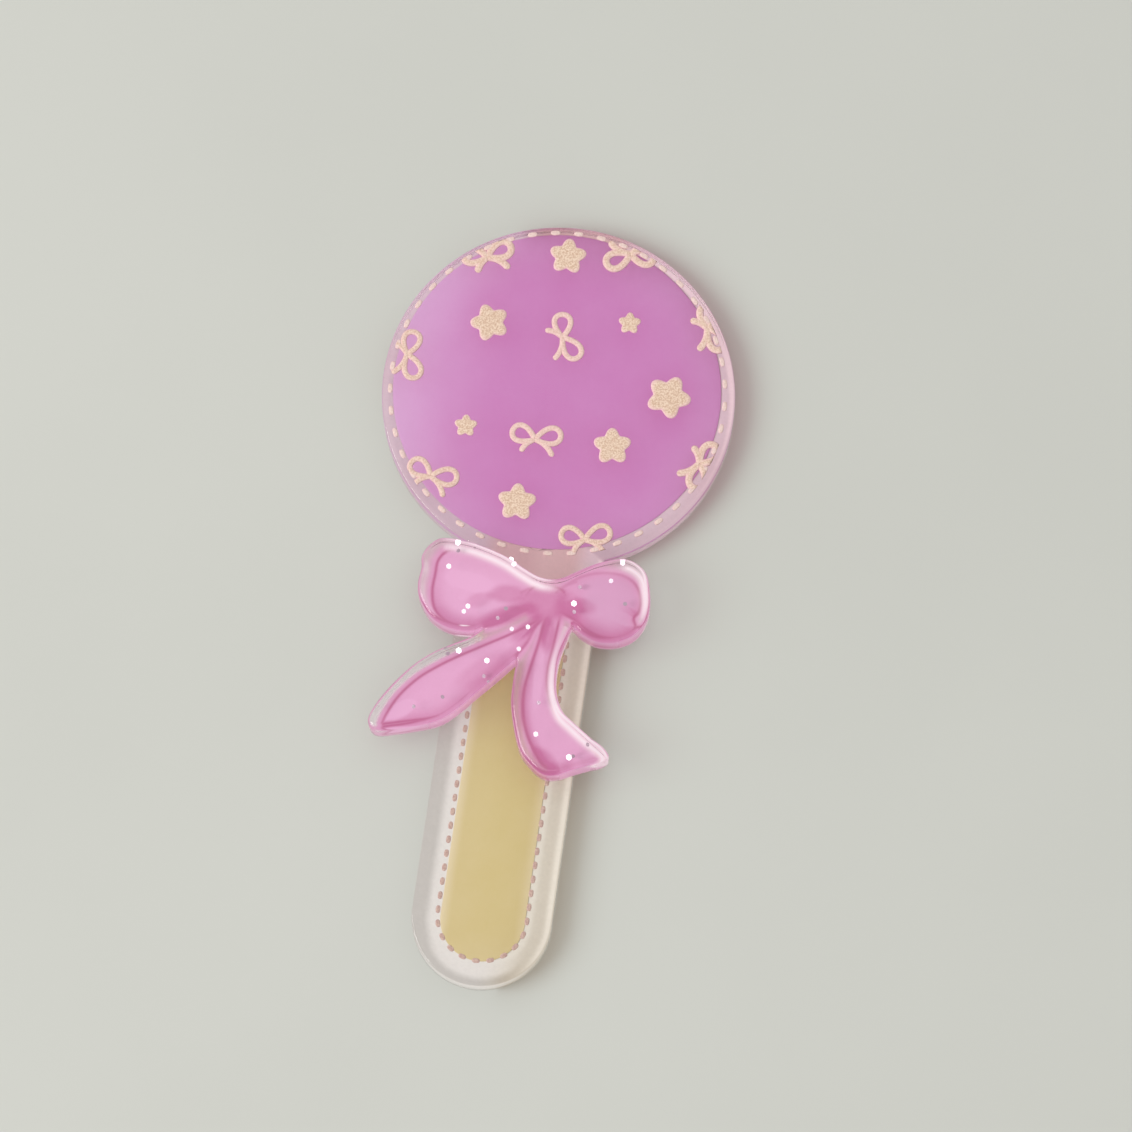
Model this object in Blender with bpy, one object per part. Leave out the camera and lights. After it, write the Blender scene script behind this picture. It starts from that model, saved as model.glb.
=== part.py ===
"""Flat clear acrylic charm in the shape of a lollipop, lying on its back.

A clear plate is cut as a round head and a round-ended stick. A purple disc and a yellow strip
of colour lie in its back, and stars, line bows and stitches are printed raised on its face.
A second, smaller clear plate in the shape of a ribbon bow, with its own pink layer in its back,
is glued over the joint of head and stick.

Axes: +X to the right, +Y from stick to head, +Z up from the face it rests on. Metres.
"""

import math

import bpy
import numpy as np

MM = 0.001

# Clear plate
HEAD_RADIUS = 13.5
STICK_HALF_WIDTH = 5.2
OVERALL_LENGTH = 59.4
PLATE_THICKNESS = 2.0
PLATE_EDGE_ROUND = 0.15
HEAD_Y = OVERALL_LENGTH / 2 - HEAD_RADIUS
STICK_END_Y = STICK_HALF_WIDTH - OVERALL_LENGTH / 2

# Colour layers in the backs of the plates
LAYER_THICKNESS = 0.3
LAYER_GAP = 0.3
LAYER_SIDE_GAP = 0.25
PURPLE_CENTRE = (0.15, 16.65)
PURPLE_RADIUS = 12.4
YELLOW_X = 0.05
YELLOW_HALF_WIDTH = 3.15
YELLOW_TOP_Y = 3.0
YELLOW_END_Y = -24.47

# Raised print
PRINT_HEIGHT = 0.2
PRINT_ROOT = 0.2
RING_CENTRE = (-0.09, 16.4)
RING_RADIUS = 12.8
RING_DASHES = 45
RING_FIRST_ANGLE = 98.7
RING_DASH_LENGTH = 0.75
RING_DASH_WIDTH = 0.38
SEAM_X = 0.05
SEAM_HALF_WIDTH = 3.32
SEAM_TOP_Y = 2.6
SEAM_PITCH = 1.05
SEAM_DASH_LENGTH = 0.6
SEAM_DASH_WIDTH = 0.36

# Stars: x and y from the head's centre, tip radius, and the angle of one tip
STARS = (
    (-0.83, 11.10, 1.40, 91.0),
    (-6.02, 4.98, 1.45, 116.0),
    (4.62, 6.39, 0.85, 94.5),
    (8.35, 0.97, 1.67, 70.0),
    (-6.65, -3.46, 0.86, 94.6),
    (4.64, -3.53, 1.42, 98.0),
    (-1.93, -8.90, 1.44, 93.3),
)
STAR_VALLEY = 0.72

# Line bows: x and y of the knot from the head's centre, and the turn of the motif
LINE_BOWS = (
    (-0.33, 4.56, -57.0),
    (-1.27, -3.80, 8.0),
    (-6.96, 10.16, 25.0),
    (3.92, 11.97, 201.0),
    (10.58, 6.82, -59.0),
    (-11.94, 1.58, -74.0),
    (-8.72, -7.80, -6.0),
    (11.38, -3.94, -102.0),
    (3.59, -11.11, 17.0),
)
LINE_WIDTH = 0.4
LINE_LOOPS = ((155.0, 1.85), (12.0, 2.0))
LINE_TAILS = ((222.0, 1.45), (-46.0, 1.9))
LINE_LOOP_WIDTH = 1.25
LINE_KNOT_RADIUS = 0.38

# Ribbon bow plate
BOW_BASE_Z = PLATE_THICKNESS + 0.3
BOW_THICKNESS = 2.2
BOW_EDGE_ROUND = 0.35

# The bow's edge, from corner to corner: over both loops, then the left and the right tail
BOW_OVER_LOOPS = (
    (3.62, -2.15), (4.44, -2.78), (5.66, -3.20), (7.09, -3.05), (8.29, -2.36),
    (9.01, -1.22), (9.20, 0.00), (9.00, 1.31), (8.62, 2.45), (7.92, 3.12),
    (6.90, 3.44), (5.79, 3.20), (4.55, 2.68), (3.34, 1.95), (2.42, 1.36),
    (1.50, 1.12), (0.55, 1.22), (-0.52, 1.67), (-2.08, 2.42), (-3.89, 2.95),
    (-5.37, 3.18), (-6.96, 3.15), (-7.80, 2.55), (-8.28, 1.60), (-8.18, 0.60),
    (-8.27, -0.52), (-8.02, -1.60), (-7.12, -2.85), (-6.00, -3.52), (-4.80, -3.76),
    (-3.70, -3.66), (-2.85, -3.30),
)
BOW_LEFT_TAIL = (
    (-2.85, -3.30), (-3.79, -4.12), (-4.92, -4.78), (-6.30, -5.62), (-7.78, -6.93),
    (-9.25, -8.85), (-10.20, -10.60), (-10.36, -11.60), (-9.70, -12.16), (-8.40, -11.90),
    (-6.73, -11.40), (-5.05, -10.72), (-3.70, -9.50), (-2.72, -8.35), (-1.59, -7.09),
    (-0.08, -5.30),
)
BOW_RIGHT_TAIL = (
    (-0.08, -5.30), (-0.14, -7.18), (0.02, -9.10), (0.97, -11.88), (2.01, -13.10),
    (3.05, -13.74), (4.11, -13.66), (5.18, -13.15), (6.30, -12.65), (7.12, -12.34),
    (7.70, -11.80), (7.25, -11.12), (6.08, -10.42), (4.75, -9.50), (3.80, -8.75),
    (3.20, -7.45), (3.00, -5.86), (3.10, -4.37), (3.62, -2.15),
)

# The five areas of the pink layer
PINK_LEFT_LOOP = (
    (0.30, 0.60), (-1.24, 1.50), (-2.47, 2.08), (-4.06, 2.55), (-5.46, 2.72),
    (-6.59, 2.58), (-7.20, 1.74), (-7.27, 0.60), (-7.30, -0.70), (-6.92, -2.05),
    (-5.98, -2.92), (-4.72, -3.20), (-2.93, -2.98), (-1.92, -2.60), (-0.40, -1.50),
    (0.60, -0.60),
)
PINK_RIGHT_LOOP = (
    (2.00, -0.70), (3.76, -1.57), (4.84, -2.28), (6.09, -2.57), (7.30, -2.25),
    (8.15, -1.50), (8.52, -0.30), (8.45, 0.95), (7.97, 1.95), (6.98, 2.52),
    (5.60, 2.60), (4.20, 2.25), (3.13, 1.62), (2.00, 0.50),
)
PINK_LEFT_TAIL = (
    (1.30, -1.50), (-0.73, -2.96), (-2.87, -4.28), (-4.73, -5.43), (-6.04, -6.35),
    (-7.33, -7.43), (-8.54, -8.93), (-9.28, -10.45), (-9.50, -11.15), (-9.10, -11.48),
    (-8.20, -11.10), (-6.83, -10.75), (-5.44, -10.35), (-4.39, -9.60), (-3.41, -8.51),
    (-2.28, -7.31), (-1.17, -5.97), (-0.19, -4.80), (1.00, -3.30), (1.90, -2.10),
)
PINK_RIGHT_TAIL = (
    (2.60, -1.20), (1.45, -1.60), (1.20, -3.41), (0.89, -5.23), (0.62, -7.20),
    (0.79, -9.10), (1.39, -10.78), (2.32, -12.20), (3.17, -13.00), (4.18, -12.98),
    (5.50, -12.35), (6.95, -11.75), (6.45, -10.90), (5.32, -10.12), (3.91, -9.25),
    (3.04, -8.19), (2.48, -6.79), (2.35, -5.32), (2.52, -3.52),
)
PINK_KNOT = (
    (-0.12, 0.50), (-0.30, -0.60), (0.42, -1.57), (1.53, -1.89), (2.79, -1.30),
    (2.95, -0.20), (2.49, 0.60), (1.30, 0.75),
)


# Shapes in the plane

def smooth_path(controls, steps):
    """Catmull-Rom curve through the controls, from the first up to but not at the last."""
    points = np.array(controls, dtype=float)
    points = np.vstack((2 * points[0] - points[1], points, 2 * points[-1] - points[-2]))
    before, start, end, after = points[:-3], points[1:-2], points[2:-1], points[3:]
    share = np.linspace(0, 1, steps, endpoint=False)[:, None, None]
    curve = start + 0.5 * share * (
        end - before
        + share * (2 * before - 5 * start + 4 * end - after)
        + share**2 * (3 * (start - end) + after - before)
    )
    return curve.transpose(1, 0, 2).reshape(-1, 2)


def smooth_loop(controls, steps):
    """Closed Catmull-Rom curve through the controls."""
    count = len(controls)
    wrapped = (controls[-1], *controls, controls[0], controls[1])
    return smooth_path(wrapped, steps)[steps:steps * (count + 1)]


def inset(outline, distance):
    """The counter-clockwise outline with each point moved inwards, at right angles to its neighbours."""
    along = np.roll(outline, -1, axis=0) - np.roll(outline, 1, axis=0)
    along /= np.linalg.norm(along, axis=1)[:, None]
    inwards = np.stack((-along[:, 1], along[:, 0]), axis=1)
    return outline + distance * inwards


def arc(centre, radius, first, last, segments):
    """Points on a circle between two angles in degrees, both ends included."""
    angles = np.radians(np.linspace(first, last, segments + 1))
    return np.array(centre) + radius * np.stack((np.cos(angles), np.sin(angles)), axis=1)


def circle(centre, radius, segments):
    return arc(centre, radius, 0, 360, segments)[:-1]


def plate_outline(depth):
    """The head and stick as one outline, moved inwards by depth."""
    radius = HEAD_RADIUS - depth
    half_width = STICK_HALF_WIDTH - depth
    joint = math.degrees(math.asin(half_width / radius))
    head = arc((0, HEAD_Y), radius, joint - 90, 270 - joint, 80)
    end = arc((0, STICK_END_Y), half_width, 180, 360, 28)
    return np.vstack((head, end))


def stick_strip(x, half_width, top_y, end_y, segments):
    """A strip with a square top and a round end."""
    end = arc((x, end_y), half_width, 180, 360, segments)
    return np.vstack(([(x + half_width, top_y), (x - half_width, top_y)], end))


def star_outline(x, y, tip_radius, tip_angle):
    """A plump star: its radius swings between tip and valley, flatter at the tips."""
    turn = np.linspace(0, 2 * math.pi, 30, endpoint=False)
    swell = (0.5 + 0.5 * np.cos(5 * turn)) ** 0.8
    radius = tip_radius * (STAR_VALLEY + (1 - STAR_VALLEY) * swell)
    angles = turn + math.radians(tip_angle)
    return np.stack((x + radius * np.cos(angles), y + radius * np.sin(angles)), axis=1)


def turned(points, degrees, x, y):
    """Points turned about the origin and then moved."""
    angle = math.radians(degrees)
    matrix = np.array(((math.cos(angle), -math.sin(angle)), (math.sin(angle), math.cos(angle))))
    return points @ matrix.T + (x, y)


def line_strip(path, width):
    """The outline of a line of this width along an open path."""
    along = np.gradient(path, axis=0)
    along /= np.linalg.norm(along, axis=1)[:, None]
    aside = 0.5 * width * np.stack((along[:, 1], -along[:, 0]), axis=1)
    return np.vstack((path + aside, (path - aside)[::-1]))


def line_bow(x, y, turn):
    """The outlines of one line bow: two teardrop loops, two tails and the knot."""
    swing = np.linspace(0.28 * math.pi, 1.72 * math.pi, 13)
    across = LINE_LOOP_WIDTH / 2 * np.sin(swing) * np.sin(swing / 2) / 0.77
    outlines = []
    for angle, length in LINE_LOOPS:
        loop = np.stack((length * (1 - np.cos(swing)) / 2, across), axis=1)
        outlines.append(turned(line_strip(loop, LINE_WIDTH), turn + angle, x, y))
    for angle, length in LINE_TAILS:
        bend = 0.12 * math.copysign(length, math.cos(math.radians(angle)))
        tail = np.array(((0.1, 0), (0.5 * length, bend), (length, 0)))
        outlines.append(turned(line_strip(tail, LINE_WIDTH), turn + angle, x, y))
    outlines.append(circle((x, y), LINE_KNOT_RADIUS, 10))
    return outlines


def dash(x, y, angle, length, width):
    """A stitch: a short bar with blunt points for ends."""
    half, side, point = 0.36 * length, width / 2, 0.5 * length
    corners = np.array(((-half, -side), (half, -side), (point, 0),
                        (half, side), (-half, side), (-point, 0)))
    return turned(corners, angle, x, y)


def ring_dashes():
    """The stitches round the head."""
    outlines = []
    for number in range(RING_DASHES):
        angle = RING_FIRST_ANGLE + number * 360 / RING_DASHES
        x = RING_CENTRE[0] + RING_RADIUS * math.cos(math.radians(angle))
        y = RING_CENTRE[1] + RING_RADIUS * math.sin(math.radians(angle))
        outlines.append(dash(x, y, angle + 90, RING_DASH_LENGTH, RING_DASH_WIDTH))
    return outlines


def seam_dashes():
    """The stitches down one side of the strip, round its end and up the other side."""
    side = SEAM_TOP_Y - YELLOW_END_Y
    half_turn = math.pi * SEAM_HALF_WIDTH
    count = round((2 * side + half_turn) / SEAM_PITCH)
    outlines = []
    for number in range(count):
        run = (number + 0.5) * (2 * side + half_turn) / count
        if run < side:
            x, y, angle = SEAM_X - SEAM_HALF_WIDTH, SEAM_TOP_Y - run, 90
        elif run < side + half_turn:
            turn = (run - side) / SEAM_HALF_WIDTH
            x = SEAM_X - SEAM_HALF_WIDTH * math.cos(turn)
            y = YELLOW_END_Y - SEAM_HALF_WIDTH * math.sin(turn)
            angle = 90 + math.degrees(turn)
        else:
            x, y = SEAM_X + SEAM_HALF_WIDTH, YELLOW_END_Y + run - side - half_turn
            angle = 90
        outlines.append(dash(x, y, angle, SEAM_DASH_LENGTH, SEAM_DASH_WIDTH))
    return outlines


# Solids

def stack(name, outlines, heights):
    """A solid through outlines of equal length at rising heights, in millimetres."""
    count = len(outlines[0])
    levels = [np.column_stack((outline, np.full(count, height)))
              for outline, height in zip(outlines, heights)]
    points = np.vstack(levels) * MM
    top = (len(outlines) - 1) * count
    faces = [tuple(range(count - 1, -1, -1)), tuple(range(top, top + count))]
    for level in range(len(outlines) - 1):
        for index in range(count):
            low = level * count + index
            low_next = level * count + (index + 1) % count
            faces.append((low, low_next, low_next + count, low + count))
    mesh = bpy.data.meshes.new(name)
    mesh.from_pydata(points.tolist(), [], faces)
    mesh.update()
    solid = bpy.data.objects.new(name, mesh)
    bpy.context.scene.collection.objects.link(solid)
    return solid


def prism(name, outline, low, high):
    return stack(name, (outline, outline), (low, high))


def combine(target, others, operation):
    """One Boolean of the target with all the others, applied, and the others removed."""
    group = bpy.data.collections.new("group")
    bpy.context.scene.collection.children.link(group)
    for other in others:
        bpy.context.scene.collection.objects.unlink(other)
        group.objects.link(other)
    boolean = target.modifiers.new(operation.lower(), "BOOLEAN")
    boolean.operation = operation
    boolean.operand_type = "COLLECTION"
    boolean.collection = group
    boolean.solver = "MANIFOLD"
    with bpy.context.temp_override(object=target, active_object=target):
        bpy.ops.object.modifier_apply(modifier=boolean.name)
    for other in others:
        bpy.data.objects.remove(other)
    bpy.data.collections.remove(group)


def material(name, colour, roughness, transmission):
    made = bpy.data.materials.new(name)
    made.use_nodes = True
    shader = made.node_tree.nodes["Principled BSDF"]
    shader.inputs["Base Color"].default_value = (*colour, 1)
    shader.inputs["Roughness"].default_value = roughness
    shader.inputs["IOR"].default_value = 1.49
    shader.inputs["Transmission Weight"].default_value = transmission
    return made


def finish(solid, made):
    """The material, and shading that is smooth round the curves and flat across the edges."""
    solid.data.materials.clear()
    solid.data.materials.append(made)
    solid.data.polygons.foreach_set("use_smooth", [True] * len(solid.data.polygons))
    solid.data.set_sharp_from_angle(angle=math.radians(35))


for leftover in list(bpy.data.objects):
    bpy.data.objects.remove(leftover)

ROUND_SHARES = (0.0, 0.5, 1.0)
POCKET_TOP = LAYER_THICKNESS + LAYER_GAP
BELOW = 0.5

# Clear plate: a rounded slab, pockets in its back and the raised print on its face
bottom_round = [PLATE_EDGE_ROUND * (1 - math.sin(math.pi / 2 * share)) for share in ROUND_SHARES]
bottom_rise = [PLATE_EDGE_ROUND * (1 - math.cos(math.pi / 2 * share)) for share in ROUND_SHARES]
plate_depths = bottom_round + bottom_round[::-1]
plate_heights = bottom_rise + [PLATE_THICKNESS - rise for rise in bottom_rise[::-1]]
plate = stack("clear_plate", [plate_outline(depth) for depth in plate_depths], plate_heights)

purple_pocket = prism(
    "purple_pocket", circle(PURPLE_CENTRE, PURPLE_RADIUS + LAYER_SIDE_GAP, 96), -BELOW, POCKET_TOP)
yellow_pocket = prism(
    "yellow_pocket",
    stick_strip(YELLOW_X, YELLOW_HALF_WIDTH + LAYER_SIDE_GAP, YELLOW_TOP_Y + LAYER_SIDE_GAP,
                YELLOW_END_Y, 28),
    -BELOW, POCKET_TOP)
combine(plate, [purple_pocket, yellow_pocket], "DIFFERENCE")

print_low = PLATE_THICKNESS - PRINT_ROOT
print_high = PLATE_THICKNESS + PRINT_HEIGHT
motif_outlines = [outline for x, y, turn in LINE_BOWS for outline in line_bow(x, HEAD_Y + y, turn)]
motifs = [prism("motif", outline, print_low, print_high) for outline in motif_outlines]
trim = prism("trim", circle(RING_CENTRE, RING_RADIUS + RING_DASH_WIDTH / 2, 96),
             print_low - BELOW, print_high + BELOW)
combine(motifs[0], motifs[1:], "UNION")
combine(motifs[0], [trim], "INTERSECT")

star_outlines = [star_outline(x, HEAD_Y + y, radius, angle) for x, y, radius, angle in STARS]
dots = [prism("print", outline, print_low, print_high)
        for outline in star_outlines + ring_dashes() + seam_dashes()]
combine(plate, [motifs[0], *dots], "UNION")
finish(plate, material("clear_acrylic", (0.90, 0.88, 0.86), 0.08, 0.9))

# Colour layers in the plate's back
purple = prism("purple_disc", circle(PURPLE_CENTRE, PURPLE_RADIUS, 96), 0, LAYER_THICKNESS)
finish(purple, material("purple_colour", (0.60, 0.22, 0.51), 0.35, 0))
yellow = prism("yellow_strip",
               stick_strip(YELLOW_X, YELLOW_HALF_WIDTH, YELLOW_TOP_Y, YELLOW_END_Y, 28),
               0, LAYER_THICKNESS)
finish(yellow, material("yellow_colour", (0.64, 0.52, 0.27), 0.4, 0))

# Ribbon bow plate: a slab with rounded upper edges and a pocket in its back
bow_edge = np.vstack([smooth_path(side, 3)
                      for side in (BOW_OVER_LOOPS, BOW_LEFT_TAIL, BOW_RIGHT_TAIL)])
round_turns = [math.pi / 2 * share for share in (0.0, 0.33, 0.67, 1.0)]
bow_depths = [0.0] + [BOW_EDGE_ROUND * (1 - math.cos(turn)) for turn in round_turns]
bow_shoulder = BOW_BASE_Z + BOW_THICKNESS - BOW_EDGE_ROUND
bow_heights = [BOW_BASE_Z] + [bow_shoulder + BOW_EDGE_ROUND * math.sin(turn)
                              for turn in round_turns]
bow = stack("clear_bow", [inset(bow_edge, depth) for depth in bow_depths], bow_heights)

pink_outlines = [smooth_loop(controls, 3) for controls in (
    PINK_LEFT_LOOP, PINK_RIGHT_LOOP, PINK_LEFT_TAIL, PINK_RIGHT_TAIL, PINK_KNOT)]
pockets = [prism("pink_pocket", outline, BOW_BASE_Z - BELOW, BOW_BASE_Z + POCKET_TOP)
           for outline in pink_outlines]
combine(bow, pockets, "DIFFERENCE")
finish(bow, material("clear_bow_acrylic", (0.92, 0.88, 0.89), 0.08, 0.9))

# Pink layer in the bow's back
areas = [prism("pink_layer", inset(outline, LAYER_SIDE_GAP),
               BOW_BASE_Z, BOW_BASE_Z + LAYER_THICKNESS)
         for outline in pink_outlines]
pink = areas[0]
pink.name = "pink_bow_layer"
combine(pink, areas[1:], "UNION")
finish(pink, material("pink_colour", (0.75, 0.32, 0.56), 0.4, 0))
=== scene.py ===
import math

import bpy
import numpy as np
from mathutils import Matrix, Vector


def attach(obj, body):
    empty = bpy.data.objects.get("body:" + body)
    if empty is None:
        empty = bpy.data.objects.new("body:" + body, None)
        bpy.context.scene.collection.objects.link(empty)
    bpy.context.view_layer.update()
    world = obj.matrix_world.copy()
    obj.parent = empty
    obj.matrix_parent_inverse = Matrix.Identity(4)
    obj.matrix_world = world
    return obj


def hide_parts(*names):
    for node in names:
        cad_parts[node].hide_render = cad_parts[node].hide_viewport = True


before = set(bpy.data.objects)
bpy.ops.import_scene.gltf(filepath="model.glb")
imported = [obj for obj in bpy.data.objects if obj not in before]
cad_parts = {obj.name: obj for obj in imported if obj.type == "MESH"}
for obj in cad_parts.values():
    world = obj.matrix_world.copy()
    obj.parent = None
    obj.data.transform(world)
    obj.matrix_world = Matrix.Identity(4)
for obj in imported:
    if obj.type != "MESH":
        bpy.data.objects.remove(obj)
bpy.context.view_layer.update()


# Clear plate: head and stick of the lollipop, cut in one piece from 2 mm clear acrylic sheet.
# Its faces are polished and its cut edge is a little frosted. It carries everything else.

MM = 0.001
PLATE_THICKNESS = 2.0
HEAD_CENTRE = np.array((0.0, 16.2))
HEAD_RADIUS = 13.5
STICK_HALF_WIDTH = 5.2
STICK_END_Y = -24.5
PLATE_EDGE_ROUND = 0.18
PLATE_HUB = np.array((0.0, 4.0))
HEAD_EDGE_Y = 3.7
ACRYLIC_IOR = 1.49
STEEP = 0.6


class Wire:
    """A socket of a material's nodes. Sums written with it add Math nodes."""

    def __init__(self, tree, socket=None):
        self.tree = tree
        self.socket = socket

    def node(self, kind, settings=None, inputs=None, output=0):
        """Adds a node, makes its settings, fills or links its inputs and gives one output."""
        made = self.tree.nodes.new(kind)
        for name, value in (settings or {}).items():
            setattr(made, name, value)
        feed(made, inputs or {})
        return Wire(self.tree, made.outputs[output])

    def join(self, operation, first, second):
        """One step of arithmetic on numbers."""
        return self.node("ShaderNodeMath", {"operation": operation}, {0: first, 1: second})

    def __add__(self, other):
        return self.join("ADD", self, other)

    __radd__ = __add__

    def __sub__(self, other):
        return self.join("SUBTRACT", self, other)

    def __rsub__(self, other):
        return self.join("SUBTRACT", other, self)

    def __mul__(self, other):
        return self.join("MULTIPLY", self, other)

    __rmul__ = __mul__

    def __truediv__(self, other):
        return self.join("DIVIDE", self, other)

    def __pow__(self, other):
        return self.join("POWER", self, other)

    def least(self, other):
        return self.join("MINIMUM", self, other)

    def most(self, other):
        return self.join("MAXIMUM", self, other)

    def ramp(self, low, high):
        """0 below low and 1 above high, with a soft start and end."""
        return self.node("ShaderNodeMapRange", {"interpolation_type": "SMOOTHSTEP"},
                         {"Value": self, "From Min": low, "From Max": high})

    def between(self, low, high):
        """The colour low where this is 0, high where it is 1."""
        return self.node("ShaderNodeMix", {"data_type": "RGBA"}, {0: self, 6: low, 7: high}, 2)

    def noise(self, scale, detail=2.0):
        """Noise over the piece's own millimetres, this many swells to each."""
        place = self.node("ShaderNodeTexCoord", output="Object")
        return self.node("ShaderNodeTexNoise", None,
                         {"Vector": place, "Scale": scale / MM, "Detail": detail})

    def bump(self, height, depth):
        """A surface normal raised by height, depth millimetres at most."""
        return self.node("ShaderNodeBump", None,
                         {"Height": height, "Distance": depth * MM, "Strength": 1.0})

    def fact(self, name):
        """The number that give_facts stored under this name at each point."""
        return self.node("ShaderNodeAttribute", {"attribute_name": name}, output="Fac")


def feed(node, inputs):
    """Sets inputs of a node, and links those that are given a wire."""
    for name, value in inputs.items():
        if isinstance(value, Wire):
            value.tree.links.new(value.socket, node.inputs[name])
        else:
            node.inputs[name].default_value = value


def new_material(name):
    """A material, its Principled shader and a wire to build with."""
    material = bpy.data.materials.new(name)
    material.use_nodes = True
    shader = material.node_tree.nodes["Principled BSDF"]
    return material, shader, Wire(material.node_tree)


def clear_acrylic(name, pale, tint, rough, lamp_share, swell):
    """Clear acrylic between two faint tints, with a swell in its face. The lamp and the light of
    the room shine straight through it, and keep lamp_share."""
    material, shader, wire = new_material(name)
    cloud = wire.noise(0.15)
    feed(shader, {"Base Color": cloud.between(pale, tint),
                  "Roughness": (cloud * 0.5 + 0.75) * rough,
                  "Normal": wire.bump(wire.noise(0.5), swell),
                  "Transmission Weight": 1.0, "IOR": ACRYLIC_IOR})
    shadow_ray, room_ray = (wire.node("ShaderNodeLightPath", output=ray)
                            for ray in ("Is Shadow Ray", "Is Diffuse Ray"))
    clear = wire.node("ShaderNodeBsdfTransparent", None, {"Color": (*lamp_share, 1.0)})
    mix = wire.node("ShaderNodeMixShader", None, {0: shadow_ray.most(room_ray),
                                                  1: Wire(wire.tree, shader.outputs[0]), 2: clear})
    feed(wire.tree.nodes["Material Output"], {"Surface": mix})
    return material


def add_piece(name, points, faces, materials):
    """A mesh object at the origin, in the row frame, from points in millimetres."""
    mesh = bpy.data.meshes.new(name)
    mesh.from_pydata((points * MM).tolist(), [], faces)
    mesh.update()
    mesh.polygons.foreach_set("use_smooth", [True] * len(mesh.polygons))
    piece = bpy.data.objects.new(name, mesh)
    bpy.context.scene.collection.objects.link(piece)
    for material in materials:
        mesh.materials.append(material)
    return piece


def shells(name, rings, poles, materials):
    """Closed shells as one piece. rings[shell, row] is a closed row of points, and the two poles
    of a shell close its first and last row with fans. Faces are turned outwards: they enclose a
    positive volume."""
    count, rows, columns, _ = rings.shape
    points = np.concatenate((poles[:, :1], rings.reshape(count, -1, 3), poles[:, 1:]), axis=1)
    size = points.shape[1]
    here = 1 + np.arange(rows * columns).reshape(rows, columns)
    there = np.roll(here, -1, axis=1)
    quads = np.stack((here[:-1], there[:-1], there[1:], here[1:]), axis=-1).reshape(-1, 4)
    start = np.stack((np.zeros(columns, int), there[0], here[0]), axis=-1)
    end = np.stack((np.full(columns, size - 1), here[-1], there[-1]), axis=-1)
    corners = points[0][np.vstack((quads[:, (0, 1, 2)], quads[:, (0, 2, 3)], start, end))]
    volume = (corners[:, 0] * np.cross(corners[:, 1], corners[:, 2])).sum()
    step = 1 if volume > 0 else -1
    shift = size * np.arange(count)[:, None, None]
    faces = [face for part in (quads, start, end)
             for face in (part[None, :, ::step] + shift).reshape(-1, part.shape[1]).tolist()]
    return add_piece(name, points.reshape(-1, 3), faces, materials)


def arc(centre, radius, first, last, steps):
    """Points on a circle from one angle to another, in degrees."""
    turn = np.radians(np.linspace(first, last, steps + 1))
    return np.array(centre) + radius * np.stack((np.cos(turn), np.sin(turn)), axis=-1)


def plate_outline(depth):
    """Counter-clockwise round the head, down one side of the stick, round its end and up again,
    all moved inwards by depth."""
    radius, half = HEAD_RADIUS - depth, STICK_HALF_WIDTH - depth
    joint = math.degrees(math.asin(half / radius))
    head = arc(HEAD_CENTRE, radius, joint - 90, 270 - joint, 240)
    end = arc((0, STICK_END_Y), half, 180, 360, 72)
    down = np.linspace(head[-1], end[0], 31)[1:-1]
    up = np.linspace(end[-1], head[0], 31)[1:-1]
    return np.vstack((head, down, end, up))


def at_height(outline, height):
    """Outline points with one height each."""
    return np.column_stack((outline, np.full(len(outline), height)))


def side_rows(outline_at, low, high, low_round, high_round, steps, shares=()):
    """Rows of points up the side of a slab: round its lower edge, at these shares of the upright
    part, and round its upper edge. Each edge is a quarter circle of the given radius."""
    turns = np.linspace(0, math.pi / 2, steps)
    rows = [at_height(outline_at(low_round * (1 - math.sin(turn))),
                      low + low_round * (1 - math.cos(turn))) for turn in turns]
    rows += [at_height(outline_at(0), low + low_round
                       + share * (high - high_round - low - low_round)) for share in shares]
    return rows + [at_height(outline_at(high_round * (1 - math.cos(turn))),
                             high - high_round * (1 - math.sin(turn))) for turn in turns]


def slab_rings(outline_at, hub, low, high, edge_round):
    """Rows of points over a slab: out from the hub on its back, up its side and back to the hub."""
    rim, shares = outline_at(edge_round), (0.3, 0.6, 0.9, 0.985)
    rows = [at_height(hub + share * (rim - hub), low) for share in shares]
    rows += side_rows(outline_at, low, high, edge_round, edge_round, 5, (0.25, 0.5, 0.75))
    rows += [at_height(hub + share * (rim - hub), high) for share in shares[::-1]]
    return np.array(rows)[None], np.array([[(*hub, low), (*hub, high)]])


LAMP_TURN = math.radians(200)
LAMP_LEAN = math.radians(48)
to_lamp = np.array((math.sin(LAMP_LEAN) * math.cos(LAMP_TURN),
                    math.sin(LAMP_LEAN) * math.sin(LAMP_TURN), math.cos(LAMP_LEAN)))


def split_edge(piece, parting_y=math.inf):
    """Gives steep faces, whose normal rises by less than STEEP, the second material where they
    face the lamp and the third where they face away: light in the sheet is thrown back there, so
    that side casts the deeper shadow. Those facing away beyond parting_y get the fourth."""
    facts = np.empty((2, len(piece.data.polygons), 3))
    piece.data.polygons.foreach_get("normal", facts[0].ravel())
    piece.data.polygons.foreach_get("center", facts[1].ravel())
    normals, centres = facts
    steep = np.abs(normals[:, 2]) < STEEP
    away = normals[:, :2] @ to_lamp[:2] < 0
    beyond = centres[:, 1] > parting_y * MM
    piece.data.polygons.foreach_set("material_index", steep * (1 + away * (1 + beyond)))


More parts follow.
